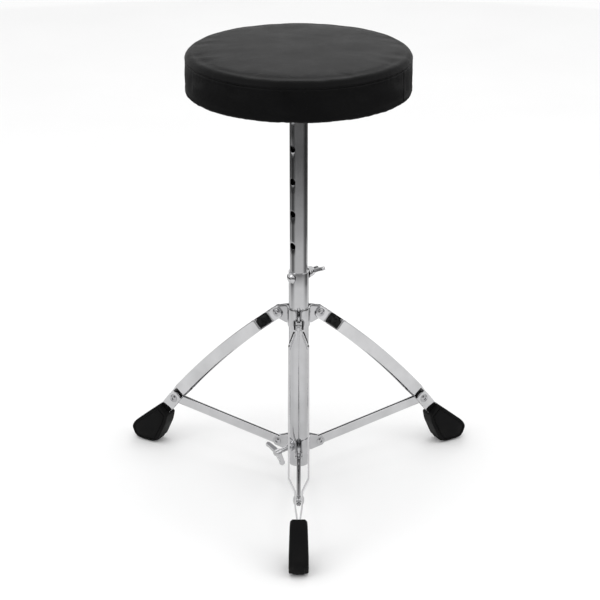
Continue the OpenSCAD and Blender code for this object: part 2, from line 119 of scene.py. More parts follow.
class Finish(Tree):
    def __init__(self, name):
        self.material = bpy.data.materials.new(name)
        self.material.use_nodes = True
        super().__init__(self.material.node_tree)
        self.nodeTree.nodes.clear()
        self.place = self.node("ShaderNodeTexCoord", out=3)  # object coordinates

    def stretched(self, scale):
        return self.node("ShaderNodeMapping", {}, {"Vector": self.place, "Scale": scale})

    def cloud(self, scale, detail=3.0, roughness=0.55, place=None):
        return self.node("ShaderNodeTexNoise", {}, {
            "Vector": place or self.place, "Scale": scale, "Detail": detail, "Roughness": roughness})

    def cells(self, scale, feature="F1", place=None):
        return self.node("ShaderNodeTexVoronoi", {"feature": feature}, {
            "Vector": place or self.place, "Scale": scale})

    def ranged(self, value, low, high, fromLow=0.0, fromHigh=1.0):
        return self.node("ShaderNodeMapRange", {}, {
            "Value": value, "From Min": fromLow, "From Max": fromHigh, "To Min": low, "To Max": high})

    def tinted(self, factor, first, second):
        first, second = [c if isinstance(c, Wire) else (*c, 1.0) for c in (first, second)]
        return self.node("ShaderNodeMix", {"data_type": "RGBA"}, {0: factor, 6: first, 7: second}, out=2)

    def bumped(self, height, strength, distance, under=None):
        inputs = {"Height": height, "Strength": strength, "Distance": distance}
        if under is not None:
            inputs["Normal"] = under
        return self.node("ShaderNodeBump", {}, inputs)

    def surface(self, colour, **sockets):
        inputs = {"Base Color": colour}
        inputs.update({key.replace("_", " "): value for key, value in sockets.items()})
        shader = self.node("ShaderNodeBsdfPrincipled", {}, inputs)
        self.node("ShaderNodeOutputMaterial", {}, {"Surface": shader}, out=None)
        return self.material


# finishes

def makeVinyl():
    it = Finish("blackVinyl")
    grain = it.cells(820.0, "DISTANCE_TO_EDGE")
    pores = it.cloud(1900.0, 2.0)
    rub = it.cloud(21.0, 5.0, 0.62)
    creases = it.cloud(60.0, 4.0, 0.6)
    tone = it.ranged(rub, 0.0, 1.0, 0.3, 0.7)
    fine = it.bumped(pores, 0.10, 0.00012)
    leather = it.bumped(grain.atMost(0.16), 0.30, 0.0011, fine)
    soft = it.bumped(creases, 0.20, 0.0012, leather)
    return it.surface(
        it.tinted(tone, (0.0024, 0.0024, 0.0026), (0.0040, 0.0040, 0.0042)),
        Roughness=it.ranged(rub + 0.35 * pores, 0.38, 0.48, 0.35, 1.0), Normal=soft,
        Specular_IOR_Level=0.07)


def makeChrome(name, tone, rough, peel, streak):
    it = Finish(name)
    film = it.cloud(38.0, 4.0)
    streaks = it.cloud(1.0, 3.0, 0.6, it.stretched((900.0, 900.0, 28.0)))
    ripple = it.cloud(420.0, 2.0)
    pits = it.cells(260.0)
    spot = (0.06 - pits).atLeast(0.0) * 6.0
    level = it.bumped(ripple + streak * streaks, peel, 0.00016)
    darker = tuple(channel * 0.86 for channel in tone)
    return it.surface(
        it.tinted(it.ranged(film, 0.0, 1.0, 0.35, 0.75) * (1.0 - spot), darker, tone), Metallic=1.0,
        Roughness=it.ranged(streaks * 0.6 + film * 0.4, rough * 0.7, rough * 1.7, 0.3, 0.75) + spot * 0.3,
        Normal=level)


def makeZinc():
    it = Finish("zincPlate")
    spangle = it.cells(420.0)
    film = it.cloud(90.0, 5.0)
    return it.surface(
        it.tinted(film, (0.42, 0.42, 0.40), (0.64, 0.63, 0.58)), Metallic=1.0,
        Roughness=it.ranged(spangle, 0.24, 0.46), Normal=it.bumped(film, 0.2, 0.0002))


def makeBlackSteel():
    it = Finish("blackPaintedSteel")
    powder = it.cloud(1500.0, 3.0)
    wear = it.cloud(45.0, 5.0, 0.65)
    bare = (wear - 0.66).atLeast(0.0) * 6.0
    return it.surface(
        it.tinted(bare.atMost(1.0), (0.012, 0.012, 0.013), (0.05, 0.05, 0.052)),
        Roughness=it.ranged(powder, 0.34, 0.52), Normal=it.bumped(powder, 0.25, 0.0002))


def makeRubber():
    it = Finish("footRubber")
    skin = it.cloud(1300.0, 3.0)
    dust = it.cloud(55.0, 5.0, 0.6)
    height = it.parts(it.place)[2]
    low = (1.0 - height / 0.03).atLeast(0.0)
    scuff = ((dust - 0.42).atLeast(0.0) * 2.2 * (0.35 + low)).atMost(1.0)
    return it.surface(
        it.tinted(scuff, (0.0024, 0.0024, 0.0026), (0.011, 0.0105, 0.010)),
        Roughness=it.ranged(dust + 0.3 * skin, 0.48, 0.72, 0.4, 1.0),
        Normal=it.bumped(skin, 0.35, 0.00025), Specular_IOR_Level=0.09)


def makePlug():
    it = Finish("plugPlastic")
    skin = it.cloud(1800.0, 2.0)
    return it.surface(
        it.tinted(skin, (0.012, 0.012, 0.012), (0.02, 0.02, 0.02)),
        Roughness=it.ranged(skin, 0.4, 0.55), Normal=it.bumped(skin, 0.2, 0.0001))


def makePlywood():
    it = Finish("rawPlywood")
    grain = it.cloud(1.0, 6.0, 0.6, it.stretched((220.0, 14.0, 60.0)))
    ply = (it.parts(it.place)[2] * (2 * math.pi / 0.0024)).wave()
    band = it.ranged(ply, 0.0, 1.0, -0.4, 0.4)
    return it.surface(
        it.tinted((grain * 0.6 + band * 0.4), (0.30, 0.18, 0.09), (0.62, 0.45, 0.27)),
        Roughness=it.ranged(grain, 0.6, 0.85), Normal=it.bumped(grain, 0.3, 0.0003))


def makeDustCloth():
    it = Finish("dustCloth")
    dots = it.cells(640.0)
    fibre = it.cloud(1.0, 5.0, 0.7, it.stretched((1700.0, 500.0, 900.0)))
    dimple = it.ranged(dots, 0.0, 1.0, 0.15, 0.45)
    return it.surface(
        it.tinted(fibre * dimple, (0.006, 0.006, 0.006), (0.024, 0.024, 0.024)),
        Roughness=it.ranged(fibre, 0.75, 0.95), Normal=it.bumped(dimple + 0.4 * fibre, 0.5, 0.0003))


def makeFoam():
    it = Finish("seatFoam")
    bubble = it.cells(900.0)
    age = it.cloud(30.0, 4.0)
    return it.surface(
        it.tinted(age, (0.60, 0.55, 0.40), (0.78, 0.74, 0.62)),
        Roughness=it.ranged(bubble, 0.8, 0.95), Normal=it.bumped(bubble, 0.6, 0.0006))


def makeBackdrop():
    it = Finish("paleFloor")
    paper = it.cloud(3.0, 4.0)
    return it.surface(it.tinted(paper, (0.86, 0.86, 0.86), (0.90, 0.90, 0.90)),
                      Roughness=it.ranged(paper, 0.7, 0.8))


def makeFlag():
    it = Finish("darkFlag")
    felt = it.cloud(40.0, 3.0)
    return it.surface(it.tinted(felt, (0.004, 0.004, 0.004), (0.008, 0.008, 0.008)), Roughness=0.95,
                      Specular_IOR_Level=0.0)


finishes = {
    "vinyl": makeVinyl(),
    "chrome": makeChrome("tubeChrome", (0.53, 0.53, 0.54), 0.075, 0.05, 0.5),
    "leg_chrome": makeChrome("legChrome", (0.64, 0.64, 0.65), 0.05, 0.05, 0.3),
    "post": makeChrome("postChrome", (0.50, 0.50, 0.51), 0.10, 0.08, 1.2),
    "hardware_chrome": makeChrome("castChrome", (0.58, 0.58, 0.59), 0.09, 0.22, 0.2),
    "rivet_steel": makeChrome("rivetSteel", (0.50, 0.50, 0.51), 0.13, 0.15, 0.2),
    "zinc": makeZinc(),
    "black_steel": makeBlackSteel(),
    "foot_rubber": makeRubber(),
    "plug": makePlug(),
    "plywood": makePlywood(),
    "cloth": makeDustCloth(),
    "foam": makeFoam(),
}
print("finishes made:", len(finishes))


# camera, light and floor

view = {"distance": 2.20235, "height": 1.17535, "pitch": 0.397243, "lens": 114.254, "across": 0.0016}


def makeCamera():
    data = bpy.data.cameras.new("camera")
    data.lens = view["lens"]
    data.sensor_width = 36.0
    data.clip_end = 60.0
    camera = bpy.data.objects.new("camera", data)
    scene.collection.objects.link(camera)
    camera.location = (view["across"], -view["distance"], view["height"])
    camera.rotation_euler = (math.pi / 2 - view["pitch"], 0, 0)
    scene.camera = camera


studio = {
    "floorRadius": 14.0,
    "sky": 0.92,
    "lights": {  # place, size, watts
        "overhead": ((0.0, -0.2, 3.4), 3.6, 33.0),
        "leftBox": ((-2.6, -1.6, 1.9), 1.6, 15.0),
        "rightBox": ((2.7, -1.2, 2.0), 1.6, 12.0),
        "backBox": ((0.3, 3.0, 2.4), 1.8, 6.0),
    },
    "flags": {  # turn of the middle, span, distance, low edge, high edge
        "frontFlag": (270, 110, 3.1, 0.10, 0.75),
        "leftFlag": (132, 20, 0.86, 0.0, 0.24),
        "rightFlag": (46, 26, 0.86, 0.0, 0.24),
        "leftNearFlag": (130, 7, 0.30, 0.0, 0.26),
        "rightNearFlag": (50, 7, 0.30, 0.0, 0.26),
    },
    # inner edge, start of the fall and outer edge of the ring that only metal mirrors
    "ring": (0.10, 0.62, 2.6),
    "ringDips": [  # turn from the front, darkness: they draw the dark lines along a bright tube
        (-180, 0.0), (-122, 0.0), (-104, 0.6), (-80, 1.0), (-62, 0.7), (-46, 0.1), (-34, 0.0), (50, 0.0),
        (66, 0.35), (90, 1.0), (108, 0.8), (126, 0.0), (180, 0.0)],
}


def onCircle(radius, angle, height=0.0):
    return (radius * math.cos(angle), radius * math.sin(angle), height)


def bridged(rings):
    # faces between rings of point numbers; a ring closed to a point repeats one number
    faces = []
    for lower, upper in zip(rings, rings[1:]):
        for step in range(len(lower)):
            after = (step + 1) % len(lower)
            face = list(dict.fromkeys([lower[step], lower[after], upper[after], upper[step]]))
            if len(face) > 2:
                faces.append(face)
    return faces


def makeMesh(name, points, faces, scale=mm):
    mesh = bpy.data.meshes.new(name)
    mesh.from_pydata([tuple(c * scale for c in p) for p in points], [], faces)
    mesh.validate()
    made = bpy.data.objects.new(name, mesh)
    scene.collection.objects.link(made)
    return made


def onlyMirrored(card):
    # a card for the metal to reflect: it isn't seen and takes no light from the floor
    card.visible_camera = card.visible_shadow = card.visible_diffuse = False
    card.visible_transmission = False


def makeRing():
    inner, near, far = studio["ring"]
    it = Finish("greyRing")
    x, y, _ = it.parts(it.place)
    out = (x * x + y * y).root()
    share = it.ranged(out, 0.0, 1.0, near, near + 0.6)
    turn = it.node("ShaderNodeMath", {"operation": "ARCTAN2"}, {0: x, 1: 0.0 - y})
    stops = [(0.5 + angle / 360, (dark, dark, dark)) for angle, dark in studio["ringDips"]]
    dip = it.node("ShaderNodeValToRGB", {"stops": stops}, {0: it.ranged(turn, 0.0, 1.0, -math.pi, math.pi)})
    depth = it.ranged(out, 0.10, 0.88, 0.54, 0.72)
    plain = it.tinted(share, (0.88, 0.88, 0.88), (0.14, 0.14, 0.14))
    it.surface(it.tinted(it.parts(dip)[0] * depth, plain, (0.01, 0.01, 0.01)),
               Roughness=0.9, Specular_IOR_Level=0.0)
    sides, lift = 72, 0.003
    points = [onCircle(r, a * math.tau / sides, lift) for r in (inner, far) for a in range(sides)]
    faces = bridged([list(range(sides)), list(range(sides, 2 * sides))])
    ring = makeMesh("greyRing", points, faces, 1.0)
    ring.data.materials.append(it.material)
    onlyMirrored(ring)


def makeStudio():
    makeRing()
    sides = 96
    rim = [onCircle(studio["floorRadius"], a * math.tau / sides) for a in range(sides)]
    floor = makeMesh("floor", rim, [list(range(sides))], 1.0)
    floor.data.materials.append(makeBackdrop())
    flagFinish = makeFlag()
    for name, (middle, span, distance, low, high) in studio["flags"].items():
        points, faces = [], []
        for step in range(25):
            turn = math.radians(middle - span / 2 + span * step / 24)
            points += [onCircle(distance, turn, height) for height in (low, high)]
        for step in range(24):
            faces.append([2 * step, 2 * step + 2, 2 * step + 3, 2 * step + 1])
        flag = makeMesh(name, points, faces, 1.0)
        flag.data.materials.append(flagFinish)
        onlyMirrored(flag)
    for name, (place, size, watts) in studio["lights"].items():
        data = bpy.data.lights.new(name, "AREA")
        data.shape, data.size, data.energy = "DISK", size, watts
        lamp = bpy.data.objects.new(name, data)
        scene.collection.objects.link(lamp)
        lamp.location = place
        lamp.visible_glossy = name != "overhead"  # or the legs' top edges burn out
        aim = Vector((0, 0, 0.3)) - Vector(place)
        lamp.rotation_euler = aim.to_track_quat("-Z", "Y").to_euler()
    world = bpy.data.worlds.new("studio")
    world.use_nodes = True
    world.node_tree.nodes["Background"].inputs[0].default_value = (1, 1, 1, 1)
    world.node_tree.nodes["Background"].inputs[1].default_value = studio["sky"]
    scene.world = world
    scene.view_settings.view_transform = "Standard"


makeCamera()
makeStudio()
print("camera and studio in place")


# shared ways of making a piece

def settle(piece):
    # turns what the modifiers give into the piece's own mesh
    bpy.context.view_layer.update()
    graph = bpy.context.evaluated_depsgraph_get()
    mesh = bpy.data.meshes.new_from_object(piece.evaluated_get(graph), depsgraph=graph)
    mesh.name = piece.name
    old = piece.data
    piece.modifiers.clear()
    piece.data = mesh
    bpy.data.meshes.remove(old)
    return piece


def tidied(piece, merge=1e-6, outward=True):
    shape = bmesh.new()
    shape.from_mesh(piece.data)
    bmesh.ops.remove_doubles(shape, verts=shape.verts, dist=merge)
    bmesh.ops.dissolve_degenerate(shape, edges=shape.edges, dist=merge)
    if outward:
        bmesh.ops.recalc_face_normals(shape, faces=shape.faces)
    shape.to_mesh(piece.data)
    shape.free()
    return piece


def turned(piece, matrix):
    # places a piece's mesh; a mirrored one gets its faces turned back
    piece.data.transform(matrix)
    if matrix.determinant() < 0:
        piece.data.flip_normals()
    return piece


def moved(x, y, z):
    return Matrix.Translation((x * mm, y * mm, z * mm))


def spunAbout(degrees, axis):
    return Matrix.Rotation(math.radians(degrees), 4, axis)


def outwards(turn, height):
    # frame whose Z points out from the tubes at that turn and height
    return moved(0, 0, height) @ spunAbout(turn, "Z") @ spunAbout(90, "Y")


def eased(piece, width, segments=2, angle=35):
    bevel = piece.modifiers.new("ease", "BEVEL")
    bevel.width = width * mm
    bevel.segments = segments
    bevel.limit_method = "ANGLE"
    bevel.angle_limit = math.radians(angle)
    return piece


def given(piece, body, slot, *replaced, sharp=38, finish=None):
    # finish, smooth shading, the body it moves with, and hiding the parts it replaces
    piece.data.materials.clear()
    piece.data.materials.append(finishes[finish or slot])
    piece.data.polygons.foreach_set("use_smooth", [True] * len(piece.data.polygons))
    piece.data.set_sharp_from_angle(angle=math.radians(sharp))
    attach(piece, body)
    if replaced:
        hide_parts(*replaced)
    return piece


def rounded(corners, steps=4):
    # corners are (x, y, radius); each is swapped for a short curve
    path = []
    for index, (x, y, radius) in enumerate(corners):
        corner = Vector((x, y))
        if radius <= 0 or index in (0, len(corners) - 1):
            path.append((x, y))
            continue
        before = Vector(corners[index - 1][:2]) - corner
        after = Vector(corners[index + 1][:2]) - corner
        reach = min(radius, before.length * 0.48, after.length * 0.48)
        start, end = corner + before.normalized() * reach, corner + after.normalized() * reach
        for step in range(steps + 1):
            t = step / steps
            spot = start * (1 - t) ** 2 + corner * 2 * t * (1 - t) + end * t * t
            path.append((spot.x, spot.y))
    return path


def spun(name, profile, turns=96, loop=False):
    # revolves (radius, height) pairs about Z; ends on the axis are closed to a point
    points, rings = [], []
    for radius, height in profile:
        if radius < 1e-6:
            rings.append([len(points)] * turns)
            points.append((0, 0, height))
            continue
        rings.append(list(range(len(points), len(points) + turns)))
        points += [onCircle(radius, math.tau * step / turns, height) for step in range(turns)]
    return tidied(makeMesh(name, points, bridged(rings + ([rings[0]] if loop else []))))


def sheetOf(name, along, across, place, thickness, offset, ease=0.3):
    # a bent sheet: place(u, v) gives its middle or one face, thickness is added by a modifier
    points = [place(i / along, j / across) for i in range(along + 1) for j in range(across + 1)]
    row = across + 1
    faces = [[i * row + j, (i + 1) * row + j, (i + 1) * row + j + 1, i * row + j + 1]
             for i in range(along) for j in range(across)]
    piece = tidied(makeMesh(name, points, faces), outward=False)
    wall = piece.modifiers.new("wall", "SOLIDIFY")
    wall.thickness = thickness * mm
    wall.offset = offset
    wall.use_even_offset = True
    eased(piece, ease, 2, 50)
    return tidied(settle(piece), 1e-7)


def cutFrom(piece, cutters):
    for cutter in cutters:
        hole = piece.modifiers.new("hole", "BOOLEAN")
        hole.operation, hole.solver, hole.object = "DIFFERENCE", "EXACT", cutter
    settle(piece)
    for cutter in cutters:
        bpy.data.objects.remove(cutter)
    return piece


def joinedMesh(name, parts):
    shape = bmesh.new()
    for part in parts:
        shape.from_mesh(part.data)
    mesh = bpy.data.meshes.new(name)
    shape.to_mesh(mesh)
    shape.free()
    for part in parts:
        bpy.data.objects.remove(part)
    made = bpy.data.objects.new(name, mesh)
    scene.collection.objects.link(made)
    return made


def fromNode(name, *sources, ease=0.3):
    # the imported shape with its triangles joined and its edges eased
    shape = bmesh.new()
    for source in sources:
        shape.from_mesh(nodes[source].data)
    bmesh.ops.remove_doubles(shape, verts=shape.verts, dist=2e-6)
    bmesh.ops.dissolve_limit(shape, angle_limit=math.radians(0.6), verts=shape.verts, edges=shape.edges)
    mesh = bpy.data.meshes.new(name)
    shape.to_mesh(mesh)
    shape.free()
    mesh.materials.clear()
    made = bpy.data.objects.new(name, mesh)
    scene.collection.objects.link(made)
    eased(made, ease, 2, 30)
    return settle(made)


# geometry node trees for what repeats

def newGroup(name, inputs):
    group = bpy.data.node_groups.new(name, "GeometryNodeTree")
    group.interface.new_socket(name="Geometry", in_out="OUTPUT", socket_type="NodeSocketGeometry")
    named = {}
    for label, kind, value in inputs:
        socket = group.interface.new_socket(name=label, in_out="INPUT", socket_type="NodeSocket" + kind)
        if value is not None:
            socket.default_value = value
        named[label] = socket.identifier
    tree = Tree(group)
    entry = group.nodes.new("NodeGroupInput")
    return tree, {output.name: Wire(tree, output) for output in entry.outputs if output.name}, named


def closeGroup(tree, geometry, material):
    whole = tree.node("GeometryNodeRealizeInstances", {}, {0: geometry})
    painted = tree.node("GeometryNodeSetMaterial", {}, {"Geometry": whole, "Material": material})
    leave = tree.nodeTree.nodes.new("NodeGroupOutput")
    tree.put(leave.inputs[0], painted)


def grown(name, tree, named, values, base=None):
    # puts a tree on an empty or given mesh; settle then makes the result plain
    piece = base or makeMesh(name, [], [])
    piece.name = name
    modifier = piece.modifiers.new("grow", "NODES")
    modifier.node_group = tree.nodeTree
    for label, value in values.items():
        modifier[named[label]] = value
    return piece


def repeatTree():
    # puts one part on every vertex, turned so that its Z follows the vertex's "facing"
    tree, entry, named = newGroup("repeatOnPoints", [
        ("Geometry", "Geometry", None), ("Part", "Object", None), ("Material", "Material", None)])
    part = tree.node("GeometryNodeObjectInfo", {"transform_space": "ORIGINAL"}, {"Object": entry["Part"]},
                     out=4)
    facing = tree.node("GeometryNodeInputNamedAttribute", {"data_type": "FLOAT_VECTOR"}, {"Name": "facing"})
    turn = tree.node("FunctionNodeAlignRotationToVector", {"axis": "Z"}, {"Vector": facing})
    placed = tree.node("GeometryNodeInstanceOnPoints", {}, {
        "Points": tree.node("GeometryNodeMeshToPoints", {}, {"Mesh": entry["Geometry"]}),
        "Instance": part, "Rotation": turn})
    closeGroup(tree, placed, entry["Material"])
    return tree, named


def ringTree():
    # puts a part at even turns round the Z axis
    tree, entry, named = newGroup("repeatRoundRing", [
        ("Part", "Object", None), ("Count", "Int", 24), ("Radius", "Float", 0.1), ("Height", "Float", 0.5),
        ("Seed", "Int", 7), ("Skew", "Float", 0.12), ("Material", "Material", None)])
    part = tree.node("GeometryNodeObjectInfo", {"transform_space": "ORIGINAL"}, {"Object": entry["Part"]},
                     out=4)
    ring = tree.node("GeometryNodeMeshCircle", {}, {"Vertices": entry["Count"], "Radius": entry["Radius"]})
    raised = tree.node("GeometryNodeTransform", {}, {
        "Geometry": ring, "Translation": tree.joined(0.0, 0.0, entry["Height"])})
    index = tree.node("GeometryNodeInputIndex")
    uneven = tree.node("FunctionNodeRandomValue", {"data_type": "FLOAT"}, {
        "Min": -1.0, "Max": 1.0, "ID": index, "Seed": entry["Seed"]}, out=1)
    turn = tree.joined(0.0, 0.0, index * (math.tau / entry["Count"]) + uneven * entry["Skew"])
    placed = tree.node("GeometryNodeInstanceOnPoints", {}, {
        "Points": raised, "Instance": part,
        "Rotation": tree.node("FunctionNodeEulerToRotation", {}, {0: turn})})
    closeGroup(tree, placed, entry["Material"])
    return tree, named


repeatParts, repeatNames = repeatTree()
ringParts, ringNames = ringTree()


def repeated(name, part, spots, finish):
    # spots are (place in mm, facing)
    base = makeMesh(name, [place for place, facing in spots], [])
    facing = base.data.attributes.new("facing", "FLOAT_VECTOR", "POINT")
    facing.data.foreach_set("vector", [c for place, way in spots for c in way])
    grown(name, repeatParts, repeatNames, {"Part": part, "Material": finishes[finish]}, base)
    return settle(base)


# seat

cushion = {
    "radius": 137.6, "top": 573.5, "bottom": 524.95, "crown": 2.2, "edge": 8.5, "foot": 1.7,
    "taper": 1.6,            # how much narrower the band is at its foot
    "seamDrop": 9.0, "grooveDepth": 1.0, "puckers": 0.42, "bandSeamTurn": 334,
    "lipRadius": 114.2, "wall": 1.2, "turns": 720,
    "swellPressure": 4.0, "swellCap": 1.5, "swellShrink": 0.7, "swellVoxel": 5.5, "swellFrames": 20,
}


def cushionOutline():
    # outer section from the turned-in lip to the middle of the top, in millimetres
    c = cushion
    foot = c["radius"] - c["taper"]
    corners = [(c["lipRadius"], c["bottom"] + 0.1, 0), (foot, c["bottom"], c["foot"]),
               (c["radius"] - 0.2, c["top"] - 26, 12), (c["radius"], c["top"] - c["edge"], 3)]
    path = rounded(corners[:3] + [(c["radius"], c["top"] - c["edge"] - 2, 0)], 8)
    for step in range(13):
        a = math.radians(90 * step / 12)
        path.append((c["radius"] - c["edge"] * (1 - math.cos(a)), c["top"] - c["edge"] * (1 - math.sin(a))))
    flat = c["radius"] - c["edge"]
    for step in range(1, 33):
        r = flat * (1 - step / 32)
        path.append((r, c["top"] + c["crown"] * (1 - (r / flat) ** 2)))
    return path


def evenly(path, gapAt):
    # resamples a path; gapAt(x, y) says how far apart the points may be there
    fine, spots = [], [path[0]]
    for (x0, y0), (x1, y1) in zip(path, path[1:]):
        count = max(1, int(math.hypot(x1 - x0, y1 - y0) / 0.1))
        fine += [(x0 + (x1 - x0) * k / count, y0 + (y1 - y0) * k / count) for k in range(count)]
    fine.append(path[-1])
    gone = 0.0
    for (x0, y0), (x1, y1) in zip(fine, fine[1:]):
        gone += math.hypot(x1 - x0, y1 - y0)
        if gone >= gapAt(x1, y1):
            spots.append((x1, y1))
            gone = 0.0
    spots[-1] = path[-1]
    return spots


def swellField():
    # lets a slightly smaller pad swell as cloth, and returns how far each spot moved
    c = cushion
    small = c["swellShrink"]
    profile = [(0, c["bottom"]), (c["radius"] - c["taper"] - small - 3, c["bottom"]),
               (c["radius"] - c["taper"] - small, c["bottom"] + 4), (c["radius"] - small, c["top"] - 12),
               (c["radius"] - small - 2.5, c["top"] - small - 4),
               (c["radius"] - small - 9, c["top"] - small), (60, c["top"] - small), (0, c["top"] - small)]
    pad = spun("swellPad", profile, 96)
    remesh = pad.modifiers.new("voxels", "REMESH")
    remesh.mode, remesh.voxel_size = "VOXEL", c["swellVoxel"] * mm
    settle(pad)
    rest = [v.co.copy() for v in pad.data.vertices]
    held = pad.vertex_groups.new(name="held")
    for index, spot in enumerate(rest):
        height = spot.z / mm - c["bottom"]
        held.add([index], max(0.0, min(1.0, 1.0 - (height - 3.0) / 6.0)), "REPLACE")
    cloth = pad.modifiers.new("swell", "CLOTH")
    cloth.settings.quality = 6
    cloth.settings.mass = 0.25
    cloth.settings.use_pressure = True
    cloth.settings.uniform_pressure_force = c["swellPressure"]
    cloth.settings.effector_weights.gravity = 0.0
    cloth.settings.vertex_group_mass = "held"
    cloth.settings.tension_stiffness = 25.0
    cloth.settings.bending_stiffness = 2.0
    for number in range(1, c["swellFrames"] + 1):
        scene.frame_set(number)
    graph = bpy.context.evaluated_depsgraph_get()
    swollen = pad.evaluated_get(graph).data
    field = KDTree(len(rest))
    shifts = []
    for index, spot in enumerate(rest):
        shift = swollen.vertices[index].co - spot
        if shift.length > c["swellCap"] * mm:
            shift = shift.normalized() * c["swellCap"] * mm
        shifts.append(shift)
        field.insert(spot, index)
    field.balance()
    scene.frame_set(1)
    bpy.data.objects.remove(pad)
    return field, shifts


def swollenAt(field, spot):
    tree, shifts = field
    total, weight = Vector(), 0.0
    for _, index, distance in tree.find_n(spot, 7):
        share = 1.0 / (distance + 0.002)
        total += shifts[index] * share
        weight += share
    return total / weight


def makeSeat():
    c = cushion
    seam = c["top"] - c["seamDrop"]

    def gapAt(x, y):
        if x > c["radius"] - c["edge"] * 0.7:
            return 0.42 if abs(y - seam) < 2.2 else 0.9 if abs(y - seam) < 9 else 2.2
        return 1.6 if x > c["radius"] - 22 else 6.0

    outline = evenly(cushionOutline(), gapAt)
    field = swellField()
    normals, distances, gone = [], [], 0.0
    for index, (x, y) in enumerate(outline):
        x0, y0 = outline[max(0, index - 1)]
        x1, y1 = outline[min(len(outline) - 1, index + 1)]
        normals.append(Vector((y1 - y0, x0 - x1)).normalized())
        gone += math.hypot(x - outline[index - 1][0], y - outline[index - 1][1]) if index else 0.0
        distances.append(gone)
    seamAt = min(range(len(outline)),
                 key=lambda k: abs(outline[k][1] - seam) + abs(outline[k][0] - 137) * 0.1)
    bandTurn = math.radians(c["bandSeamTurn"])
    turns = c["turns"]
    points, rings = [], []
    for index, (radius, height) in enumerate(outline):
        fromSeam = distances[index] - distances[seamAt]
        groove = -c["grooveDepth"] * math.exp(-(fromSeam / 0.75) ** 2)
        groove += 0.28 * math.exp(-((fromSeam - 2.4) / 1.5) ** 2)
        fade = math.exp(-abs(fromSeam) / (6.0 if fromSeam < 0 else 3.5))
        onBand = 1.0 if height < seam and radius > c["radius"] - 9 else 0.0
        under = max(0.0, min(1.0, (c["bottom"] + 5 - height) / 4))
        last = index == len(outline) - 1
        if last:
            rings.append([len(points)] * turns)
        else:
            rings.append(list(range(len(points), len(points) + turns)))
        for step in range(1 if last else turns):
            a = math.tau * step / turns
            ca, sa = math.cos(a), math.sin(a)
            gather = noise.noise(Vector((ca * 26, sa * 26, fromSeam * 0.03)))
            gather += 0.5 * noise.noise(Vector((ca * 52, sa * 52, 4 + fromSeam * 0.05)))
            strong = 0.45 + 0.55 * (0.5 + 0.5 * noise.noise(Vector((ca * 2.2, sa * 2.2, 9.0)))) * 1.6
            lift = groove + c["puckers"] * fade * gather * strong
            wide = noise.noise(Vector((ca * 2.6, sa * 2.6, height * 0.035)))
            drag = noise.noise(Vector((ca * 7 + height * 0.05, sa * 7 - height * 0.05, height * 0.06)))
            lift += onBand * (0.35 * wide + 0.30 * drag)
            fromBand = (a - bandTurn + math.pi) % math.tau - math.pi
            lift += onBand * -0.75 * math.exp(-(fromBand * radius / 0.8) ** 2)
            lift += onBand * 0.22 * math.exp(-((fromBand * radius - 3.0) / 2.0) ** 2)
            lift += under * 0.45 * noise.noise(Vector((ca * 22, sa * 22, radius * 0.04)))
            if radius < c["radius"] - 9 and height > seam:
                lift += 0.35 * noise.noise(Vector((ca * radius * 0.028, sa * radius * 0.028, 2.0)))
                lift += 0.12 * noise.noise(Vector((ca * radius * 0.11, sa * radius * 0.07, 5.0)))
            r = radius + normals[index].x * lift
            spot = Vector((r * ca, r * sa, height + normals[index].y * lift))
            if field and not last:
                give = swollenAt(field, spot * mm) / mm
                spot += give * 0.8 - Vector((ca, sa, 0)) * 0.6 * (1 if height > c["bottom"] + 6 else 0)
            elif field:
                spot += swollenAt(field, spot * mm) / mm * 0.8
            points.append(tuple(spot))
    # inner face of the cover, down to the lip
    for radius, height in [(0.0, c["top"] - 1.2), (70, c["top"] - 1.3), (124, c["top"] - 1.8),
                           (133.5, c["top"] - 6.5), (135.3, c["top"] - 14), (135.0, 541), (134.8, 529),
                           (132.5, 526.0), (c["lipRadius"], 526.0)]:
        if radius == 0.0:
            rings.append([len(points)] * turns)
            points.append((0, 0, height))
            continue
        rings.append(list(range(len(points), len(points) + turns)))
        points += [onCircle(radius, math.tau * k / turns, height) for k in range(turns)]
    cover = tidied(makeMesh("seatCover", points, bridged(rings + [rings[0]])), 1e-7)
    given(cover, "seat", "vinyl", "seat_cover", sharp=70)
    return cover


def makeFoamPad():
    c = cushion
    profile = [(0, 538.3), (133.0, 538.3), (134.0, 539.5), (134.2, 562)]
    profile += [(134.2 - 9 * (1 - math.cos(math.radians(a))), 562 + 9 * math.sin(math.radians(a)))
                for a in (15, 30, 45, 60, 75, 90)]
    profile += [(90, c["top"] - 1.9), (0, c["top"] - 1.7)]
    pad = spun("seatFoam", profile, 180)
    given(pad, "seat", "foam", "seat_foam", sharp=60)


clothDisc = {"radius": 121.8, "hole": 16.0, "middle": 524.35, "thickness": 0.5, "sag": 0.12}


def makeDustDisc():
    d = clothDisc

    def place(u, v):
        a = math.tau * u
        r = d["hole"] + (d["radius"] - d["hole"]) * v
        ripple = noise.noise(Vector((math.cos(a) * r * 0.07, math.sin(a) * r * 0.07, 1.0)))
        edge = noise.noise(Vector((math.cos(a) * 14, math.sin(a) * 14, 3.0)))
        r = min(d["radius"], r + 0.35 * edge * v)
        return (r * math.cos(a), r * math.sin(a), d["middle"] + d["sag"] * ripple * (r > 60))

    disc = sheetOf("dustCloth", 192, 26, place, d["thickness"], 0.0, 0.05)
    given(disc, "seat", "cloth", "underside_cloth", sharp=60)


staple = {"crown": 10.0, "wire": 0.9, "leg": 6.5, "count": 24, "radius": 118.95, "height": 523.5}


